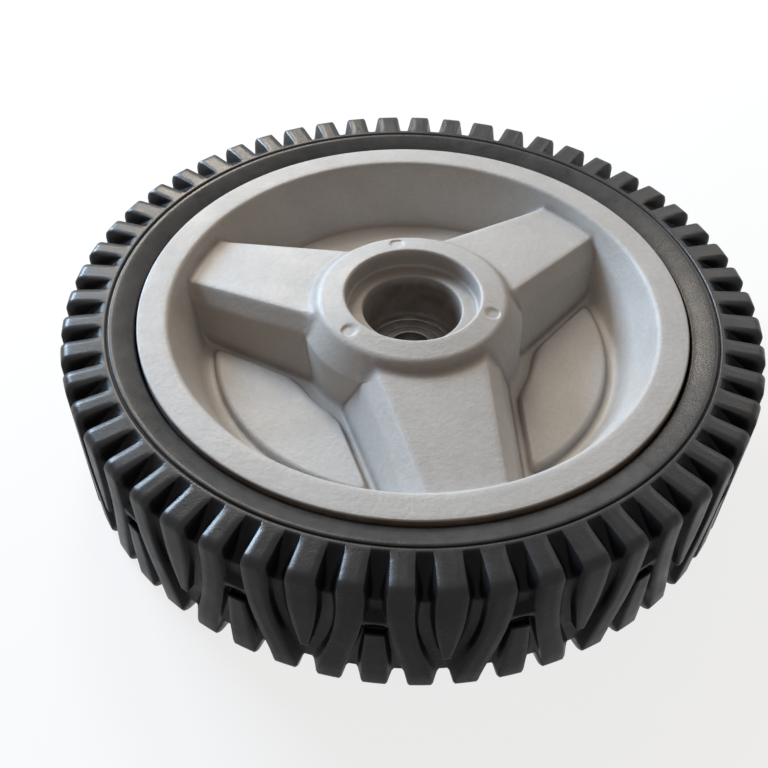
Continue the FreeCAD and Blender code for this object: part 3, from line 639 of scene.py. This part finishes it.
def rim_surface(s):
    """Rim as its turned section, raised at the spokes and panels in front and at the spoke hollows behind.

    A spoke is the lowest of three planes: top, bevel and wall. Front height = larger of the section and the
    spoke. A panel adds its raise where the distance inside its outline is positive. A hollow is the spoke's
    three planes set in by the wall, and also ends short of the hub and of the dish's wall. Painted shade is
    laid where two forms meet, in the bore and on the lip's outer wall beside the tyre.
    """
    radius, z, share, leg = rounded_profile(rim_corners(s), rim_marks(s))
    turn_in = rim_angles(s, radius, share)
    lines = rim_lines(s)
    wall, bevel_drop, lean = s.wall, s.bevel_drop, lines["lean"]
    r, leg, base = radius[:, None], leg[:, None], z[:, None] + 0 * turn_in
    x, y = r * np.cos(turn_in), r * np.sin(turn_in)
    top, top_half, bevel_half, foot_half = (lines[name][0] - lines[name][1] * x
                                            for name in ("height", "top", "bevel", "foot"))
    bevel = top - (y - top_half) * s.bevel_drop / s.bevel_width
    side = top - bevel_drop - (y - bevel_half) / lean
    spoke = soft_min(soft_min(top, bevel, 0.7), side, 0.9)
    front, blend = (leg >= HUB_CONE) & (leg < LIP_EDGE), 2.6
    height = np.where(front, soft_max(base, spoke, blend), base)
    # Painted shade where a spoke's fillet meets the section.
    grime = np.where(front, np.maximum(blend - np.abs(base - spoke), 0) / blend, 0.0)

    inside = soft_min(soft_min(r - s.panel_inner, s.panel_outer - r, 1.5),
                      (y - foot_half - s.panel_gap) / math.hypot(1, lines["foot"][1]), 2.5)
    panel = s.face - s.dish_depth + s.panel_raise * ease(inside / 1.1 + 0.35)
    on_floor = leg == DISH_FLOOR
    height = np.where(on_floor, np.maximum(height, panel), height)
    # Painted shade along the foot of each panel's outline.
    grime = np.maximum(grime, np.where(on_floor, np.exp(-np.square((inside + 0.45) / 0.5)), 0.0))
    # Painted shade in the bore and the recess, and on the lip's outer wall in the gap beside the tyre.
    in_bore = np.where((leg < RECESS) | (leg >= BACK_SEAT), 1.0, np.where(leg < HUB_FACE, 0.3, 0.0))
    beside_tyre = np.where(r > s.radius - 0.1, 0.9, 0.0)
    grime = np.maximum(0.75 * grime, np.maximum(in_bore, beside_tyre))

    bevel_slope, end_slope = 1.12, 14
    roof = soft_min(top - wall, top - wall - (y - top_half + wall / 2) * bevel_slope, 1.0)
    roof = soft_min(roof, top - bevel_drop - wall / 2 - (y - bevel_half + wall) / lean, 1.0)
    roof = soft_min(roof, base + (r - s.hub_radius - 0.1) * end_slope, 1.0)
    roof = soft_min(roof, base + (s.dish_floor + 0.3 - r) * end_slope, 1.0)
    height = np.where(leg == UNDERSIDE, soft_max(height, roof, 0.8), height)

    past = turn_in - np.pi / s.spokes
    away = np.hypot(r * np.sin(past), r * np.cos(past) - s.dimple_circle)
    bowl = 1 - np.square(away / s.dimple_radius)
    dimple = s.dimple_depth * ease(soft_max(bowl * 1.6, 0.0, 0.15))
    height = np.where(leg == HUB_FACE, height - dimple, height)

    angle = repeated(mirrored(turn_in, -1), s.spoke_start, s.spokes)
    height, grime = (np.tile(mirrored(values), (1, s.spokes)) for values in (height, grime))
    return around(r + 0 * angle, height, angle), grime


def rib_piece(s, material):
    """Ribs on the hidden side: each is an outline in a plane through the axle, made thick and turned."""
    k = rim_levels(s)
    sunk, foot = k.wall / 2, k.back + 3.0
    hub_rib = [(k.tube - sunk, foot), (k.hub - sunk, k.under), (k.hub - sunk, k.cone_foot),
               (k.cap + sunk, k.ledge - sunk), (k.tube - sunk, k.ledge - sunk)]
    lip_rib = [(k.barrel + sunk, foot), (k.barrel + sunk, k.pocket + sunk),
               (k.shelf - sunk, k.pocket + sunk), (k.dish_back - sunk, k.under + sunk)]
    vertices, faces, base = [], [], 0
    first = s.spoke_start + np.pi / 2 + np.pi / 2 / s.spokes
    for outline, count in ((hub_rib, s.hub_ribs), (lip_rib, s.lip_ribs)):
        rz = np.array(outline)
        n = len(rz)
        this, following = np.arange(n), (np.arange(n) + 1) % n
        sides = np.stack([this, following, n + following, n + this], 1)
        for angle in first + np.arange(count) * 2 * np.pi / count:
            along = np.array([math.sin(angle), -math.cos(angle)])
            across = np.array([math.cos(angle), math.sin(angle)]) * s.rib / 2
            for sign in (-1, 1):
                plan = rz[:, :1] * along + sign * across
                vertices.append(np.column_stack([plan, rz[:, 1]]))
            faces += (sides + base).tolist()
            faces += [list(range(base + n - 1, base - 1, -1)), list(range(base + n, base + 2 * n))]
            base += 2 * n
    piece = add_mesh("rim_ribs", np.concatenate(vertices), faces, material)
    bevel = piece.modifiers.new("edges", "BEVEL")
    bevel.width = s.rib_edge * MM
    bevel.segments = 2
    bevel.limit_method = "ANGLE"
    return piece


class Shader:
    """Node tree of a material or a world, with short calls for adding nodes and links."""

    def __init__(self, owner):
        owner.use_nodes = True
        self.owner, self.tree = owner, owner.node_tree
        self.object = self.add("ShaderNodeTexCoord").outputs["Object"]

    def add(self, kind, inputs=None, **settings):
        """New node with its inputs, by name or number, and its settings."""
        node = self.tree.nodes.new(kind)
        for key, value in settings.items():
            setattr(node, key, value)
        for key, value in (inputs or {}).items():
            self.put(node.inputs[key], value)
        return node

    def put(self, socket, value):
        """Link a socket to another one, or give it a plain value."""
        if isinstance(value, bpy.types.NodeSocket):
            self.tree.links.new(value, socket)
        else:
            socket.default_value = value

    def noise(self, scale, detail, roughness, vector=None):
        """Soft noise on object coordinates; the scale is in waves per metre."""
        inputs = {"Vector": vector or self.object, "Scale": scale, "Detail": detail, "Roughness": roughness}
        return self.add("ShaderNodeTexNoise", inputs).outputs["Fac"]

    def attribute(self, name):
        return self.add("ShaderNodeAttribute", attribute_name=name).outputs["Fac"]

    def between(self, value, low, high, out_low=0.0, out_high=1.0):
        """Value mapped from one range to another, and kept inside it."""
        inputs = {"Value": value, "From Min": low, "From Max": high, "To Min": out_low, "To Max": out_high}
        return self.add("ShaderNodeMapRange", inputs).outputs["Result"]

    def math(self, operation, a, b):
        return self.add("ShaderNodeMath", {0: a, 1: b}, operation=operation).outputs[0]

    def mix(self, share, a, b):
        """Colour a going over to colour b."""
        return self.add("ShaderNodeMix", {0: share, 6: a, 7: b}, data_type="RGBA").outputs[2]

    def bump(self, height, strength, distance, normal=None):
        inputs = {"Height": height, "Strength": strength, "Distance": distance}
        if normal:
            inputs["Normal"] = normal
        return self.add("ShaderNodeBump", inputs).outputs["Normal"]

    def finish(self, **sockets):
        """Set the surface's sockets by name, with _ for a space."""
        surface = self.tree.nodes["Principled BSDF"].inputs
        for key, value in sockets.items():
            self.put(surface[key.replace("_", " ")], value)
        return self.owner


def new_material(name):
    """Nodes of a new material."""
    return Shader(bpy.data.materials.new(name))


def shade(colour, share):
    """A colour made lighter or darker by a share."""
    return tuple(min(1.0, c * share) for c in colour[:3]) + (1.0,)


def moulded_plastic(s):
    """Grey moulding: clouds, stains, grain, rubbed streaks round the axle, painted shade in corners, bore and
    tyre gap.
    """
    m = new_material("moulded_grey")
    cloud = m.between(m.noise(34.0, 5.0, 0.58), 0.32, 0.68)
    colour = m.mix(cloud, shade(s.colour, 0.9), shade(s.colour, 1.06))
    stain = m.between(m.noise(55.0, 6.0, 0.66), 0.5, 0.72, 0.0, 0.32)
    colour = m.mix(stain, colour, tuple(s.stain))
    grain = m.between(m.noise(620.0, 6.0, 0.7), 0.36, 0.64)
    colour = m.mix(m.between(grain, 0.0, 1.0, 0.0, 0.22), colour, shade(s.colour, 0.66))
    flat = m.add("ShaderNodeSeparateXYZ", {0: m.object}).outputs
    turned = m.math("MULTIPLY", m.math("ARCTAN2", flat["Y"], flat["X"]), 0.012)
    reach = m.add("ShaderNodeVectorMath", {0: m.object}, operation="LENGTH").outputs["Value"]
    ring = m.add("ShaderNodeCombineXYZ", {"X": turned, "Y": reach}).outputs["Vector"]
    streak = m.between(m.noise(900.0, 4.0, 0.65, ring), 0.56, 0.74, 0.0, 0.3)
    colour = m.mix(streak, colour, shade(s.colour, 1.28))
    speck = m.between(m.noise(1500.0, 3.0, 0.6), 0.66, 0.74, 0.0, 0.4)
    colour = m.mix(speck, colour, shade(s.colour, 0.5))
    # Painted shade, broken into patches, darkens corners, the bore and the gap beside the tyre.
    patches = m.between(m.noise(120.0, 4.0, 0.6), 0.3, 0.65, 0.55, 0.95)
    colour = m.mix(m.math("MULTIPLY", m.attribute("grime"), patches), colour, tuple(s.grime))
    rough = m.between(m.noise(90.0, 5.0, 0.6), 0.3, 0.7, 0.36, 0.54)
    normal = m.bump(grain, 0.22, 0.00022)
    normal = m.bump(m.noise(150.0, 4.0, 0.5), 0.12, 0.0006, normal)
    return m.finish(Base_Color=colour, Roughness=rough, Normal=normal, Specular_IOR_Level=0.32)


def rubber(s):
    """Black rubber: a dark tread, flanks grey with dust that lies in patches, worn specks and a fine skin."""
    m = new_material("tyre_rubber")
    patch = m.between(m.noise(60.0, 6.0, 0.62), 0.35, 0.68)
    film = m.between(m.noise(260.0, 5.0, 0.6), 0.35, 0.7, 0.5, 1.0)
    lug, flank = m.attribute("lug"), m.attribute("flank")
    lying = m.math("MULTIPLY", flank, m.between(lug, 0.0, 1.0, 1.0, 0.45))
    dust = m.math("MULTIPLY", lying, m.math("MULTIPLY", film, m.between(patch, 0.0, 1.0, 0.45, 1.0)))
    colour = m.mix(m.between(patch, 0.0, 1.0, 0.0, 0.4), tuple(s.colour), shade(s.colour, 1.6))
    colour = m.mix(dust, colour, tuple(s.dust))
    speck = m.between(m.noise(900.0, 4.0, 0.65), 0.64, 0.76, 0.0, 0.5)
    colour = m.mix(m.math("MULTIPLY", speck, lug), colour, shade(s.dust, 1.7))
    rough = m.between(m.noise(130.0, 5.0, 0.6), 0.3, 0.7, 0.26, 0.4)
    normal = m.bump(m.noise(1500.0, 4.0, 0.6), 0.2, 0.0003)
    normal = m.bump(m.noise(110.0, 4.0, 0.5), 0.15, 0.0008, normal)
    sheen = m.between(flank, 0.0, 1.0, 0.07, 0.25)
    return m.finish(Base_Color=colour, Roughness=rough, Normal=normal, Specular_IOR_Level=sheen)


def turned_steel(name, colour, low, high):
    """Steel with fine rings left by turning: noise on the distance from the axle, and a dull oily film."""
    m = new_material(name)
    flat = m.add("ShaderNodeVectorMath", {0: m.object, 1: (1.0, 1.0, 0.0)}, operation="MULTIPLY").outputs[0]
    distance = m.add("ShaderNodeVectorMath", {0: flat}, operation="LENGTH").outputs["Value"]
    rings = m.noise(9000.0, 2.0, 0.6, m.add("ShaderNodeCombineXYZ", {"X": distance}).outputs["Vector"])
    film = m.noise(260.0, 5.0, 0.6)
    tone = m.mix(m.between(film, 0.35, 0.7), shade(colour, 0.75), shade(colour, 1.15))
    rough = m.between(film, 0.3, 0.7, low, high)
    normal = m.bump(rings, 0.12, 0.00005)
    return m.finish(Base_Color=tone, Roughness=rough, Normal=normal, Metallic=1.0)


class WHEEL_OT_tyre(bpy.types.Operator):
    """Make the rubber tyre with its lugs"""

    bl_idname = "wheel.tyre"
    bl_label = "Tyre"

    def execute(self, context):
        s = in_millimetres(context.scene.wheel_tyre)
        points, lug, flank = tyre_surface(s)
        piece = make_piece("tyre_rubber", points, rubber(s), lug=lug, flank=flank)
        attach(piece, "wheel")
        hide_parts("tyre")
        return {"FINISHED"}


class WHEEL_OT_rim(bpy.types.Operator):
    """Make the moulded rim: hub, spokes, dish, panels, lip, barrel and the ribs behind"""

    bl_idname = "wheel.rim"
    bl_label = "Rim"

    def execute(self, context):
        s = in_millimetres(context.scene.wheel_rim)
        material = moulded_plastic(s)
        points, grime = rim_surface(s)
        piece = make_piece("rim_moulding", points, material, grime=grime)
        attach(piece, "wheel")
        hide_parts("rim")
        ribs = rib_piece(s, material)
        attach(ribs, "wheel")
        return {"FINISHED"}


def band(inner, outer, low, high, low_edge, high_edge):
    """Corners of a plain ring's section, with the rounding of its lower and of its upper edges."""
    return [(inner, low, low_edge), (outer, low, low_edge),
            (outer, high, high_edge), (inner, high, high_edge)]


class WHEEL_OT_bearings(bpy.types.Operator):
    """Make the bearing rings, shields and spacer, and finish the balls and cages"""

    bl_idname = "wheel.bearings"
    bl_label = "Bearings"

    def execute(self, context):
        s = in_millimetres(context.scene.wheel_bearings)
        steel = turned_steel("ring_steel", s.steel, 0.4, 0.6)
        sheet = turned_steel("shield_steel", s.shield, 0.5, 0.68)
        axle, inner, edge = s.axle_radius, s.inner_radius, s.chamfer
        bore, outer, seat = s.outer_inner, s.outer_radius, s.shield_outer
        recess, hole = s.shield_recess, inner + s.shield_gap
        step = recess + s.shield_thickness
        fold, cut = 0.15, 0.1
        for name in ("outboard", "inboard"):
            low, high = (corner.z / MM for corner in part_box(name + "_outer_ring"))
            rings = {
                "_inner_ring": band(axle, inner, low, high, edge, edge),
                "_outer_ring": [(seat, low, edge / 2), (outer, low, edge), (outer, high, edge),
                                (seat, high, edge / 2), (seat, high - step, 0), (bore, high - step, 0),
                                (bore, low + step, 0), (seat, low + step, 0)],
                "_upper_shield": band(hole, seat, high - step, high - recess, cut, fold),
                "_lower_shield": band(hole, seat, low + recess, low + step, fold, cut),
            }
            for part, corners in rings.items():
                is_shield = part.endswith("shield")
                piece = lathe(name + part + "_turned", corners, sheet if is_shield else steel)
                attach(piece, "axle_sleeve" if part == "_inner_ring" else "wheel")
                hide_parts(name + part)
            for part in ("_balls", "_cage"):
                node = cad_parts[name + part]
                node.data.materials.clear()
                node.data.materials.append(steel)
        low, high = INBOARD_HIGH.z / MM, OUTBOARD_LOW.z / MM
        corners = band(axle, s.spacer_radius, low, high, edge / 2, edge / 2)
        spacer = lathe("spacer_sleeve_turned", corners, steel)
        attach(spacer, "axle_sleeve")
        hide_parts("spacer_sleeve")
        return {"FINISHED"}


def add_lamp(name, watts, side, colour, turned, lifted):
    """Square soft lamp a metre from the hub, turned from the right-hand side and lifted, both in degrees."""
    data = bpy.data.lights.new(name, "AREA")
    data.energy = watts
    data.size = side
    data.color = colour[:3]
    lamp = bpy.data.objects.new(name, data)
    turned, lifted = math.radians(turned), math.radians(lifted)
    level = math.cos(lifted)
    away = Vector((level * math.cos(turned), level * math.sin(turned), math.sin(lifted)))
    aim = Vector((0.0, 0.0, 0.03))
    lamp.location = aim + away
    lamp.rotation_euler = (-away).to_track_quat("-Z", "Y").to_euler()
    bpy.context.scene.collection.objects.link(lamp)


def show_white(m, plain, white, output, share=1.0):
    """Blend in a share of white, for rays from the camera, a reflection or a transmission alone."""
    path = m.add("ShaderNodeLightPath").outputs
    bounced = m.math("MAXIMUM", path["Is Glossy Ray"], path["Is Transmission Ray"])
    seen = m.math("MULTIPLY", m.math("MAXIMUM", path["Is Camera Ray"], bounced), share)
    blend = m.add("ShaderNodeMixShader", {0: seen, 1: plain.outputs[0], 2: white.outputs[0]})
    m.put(m.tree.nodes[output].inputs["Surface"], blend.outputs[0])


def pale_floor(s):
    """Matt floor that looks nearly white and throws back light by its own colour."""
    m = new_material("pale_floor")
    glow = m.add("ShaderNodeEmission", {"Color": WHITE})
    show_white(m, m.tree.nodes["Principled BSDF"], glow, "Material Output", 0.8)
    return m.finish(Base_Color=tuple(s.floor_colour), Roughness=0.9, Specular_IOR_Level=0.0)


def pale_room(s):
    """World that looks white and gives the ambient light."""
    m = Shader(bpy.data.worlds.new("room"))
    ambient = m.tree.nodes["Background"]
    m.put(ambient.inputs["Color"], tuple(s.ambient))
    white = m.add("ShaderNodeBackground", {"Color": WHITE})
    show_white(m, ambient, white, "World Output")
    return m.owner


def photo_camera(s):
    """Camera 41 degrees up on the near side, 293 mm from the lip's centre, with pan, tilt and roll."""
    lift, away = math.radians(41.02), 0.2933
    pan, tilt, roll = -0.0251, -0.0869, 0.045
    out = Vector((0.0, -math.cos(lift), math.sin(lift)))
    side = Vector((1.0, 0.0, 0.0))
    up = side.cross(-out)
    ahead = (-out + pan * side + tilt * up).normalized()
    level = ahead.cross(up).normalized()
    upright = level.cross(ahead)
    right = math.cos(roll) * level + math.sin(roll) * upright
    top = math.cos(roll) * upright - math.sin(roll) * level
    data = bpy.data.cameras.new("camera")
    data.lens = s.lens
    data.sensor_width = 36.0
    data.clip_start = 0.01
    data.dof.use_dof = False
    camera = bpy.data.objects.new("camera", data)
    matrix = Matrix((right, top, -ahead)).transposed().to_4x4()
    matrix.translation = out * away + Vector((0.0, 0.0, LIP_FACE * MM))
    camera.matrix_world = matrix
    return camera


class WHEEL_OT_stage(bpy.types.Operator):
    """Make the pale floor, the soft lamps and the camera"""

    bl_idname = "wheel.stage"
    bl_label = "Stage"

    def execute(self, context):
        scene = context.scene
        s = scene.wheel_stage
        half = s.floor_size / MM / 2
        corners = half * np.array([(-1, -1, 0), (1, -1, 0), (1, 1, 0), (-1, 1, 0)])
        floor = add_mesh("floor", corners, [(0, 1, 2, 3)], pale_floor(s))
        scene.world = pale_room(s)
        add_lamp("window", s.window_power, 0.36, s.window_light, 138.0, 24.0)
        add_lamp("back", s.back_power, 0.25, s.lamp_light, 110.0, 34.0)
        add_lamp("strip", s.strip_power, 0.2, s.lamp_light, 103.0, 42.0)
        add_lamp("side", s.side_power, 0.4, s.lamp_light, 60.0, 35.0)
        camera = photo_camera(s)
        scene.collection.objects.link(camera)
        scene.camera = camera
        scene.view_settings.view_transform = "Standard"
        return {"FINISHED"}


class WHEEL_PT_panel(bpy.types.Panel):
    """Lists the steps that make the wheel"""

    bl_idname = "WHEEL_PT_panel"
    bl_label = "Mower Wheel"
    bl_space_type = "VIEW_3D"
    bl_region_type = "UI"
    bl_category = "Wheel"

    def draw(self, context):
        for step in STEPS:
            self.layout.operator(step.bl_idname)


STEPS = (WHEEL_OT_tyre, WHEEL_OT_rim, WHEEL_OT_bearings, WHEEL_OT_stage)
SETTINGS = {
    "wheel_tyre": TyreSettings,
    "wheel_rim": RimSettings,
    "wheel_bearings": BearingSettings,
    "wheel_stage": StageSettings,
}


def register():
    for cls in (*SETTINGS.values(), *STEPS, WHEEL_PT_panel):
        bpy.utils.register_class(cls)
    for name, cls in SETTINGS.items():
        setattr(bpy.types.Scene, name, PointerProperty(type=cls))


def unregister():
    for name in SETTINGS:
        delattr(bpy.types.Scene, name)
    for cls in (WHEEL_PT_panel, *reversed(STEPS), *reversed(SETTINGS.values())):
        bpy.utils.unregister_class(cls)


def main():
    register()
    bpy.ops.wheel.tyre()
    bpy.ops.wheel.rim()
    bpy.ops.wheel.bearings()
    bpy.ops.wheel.stage()


if __name__ == "__main__":
    main()
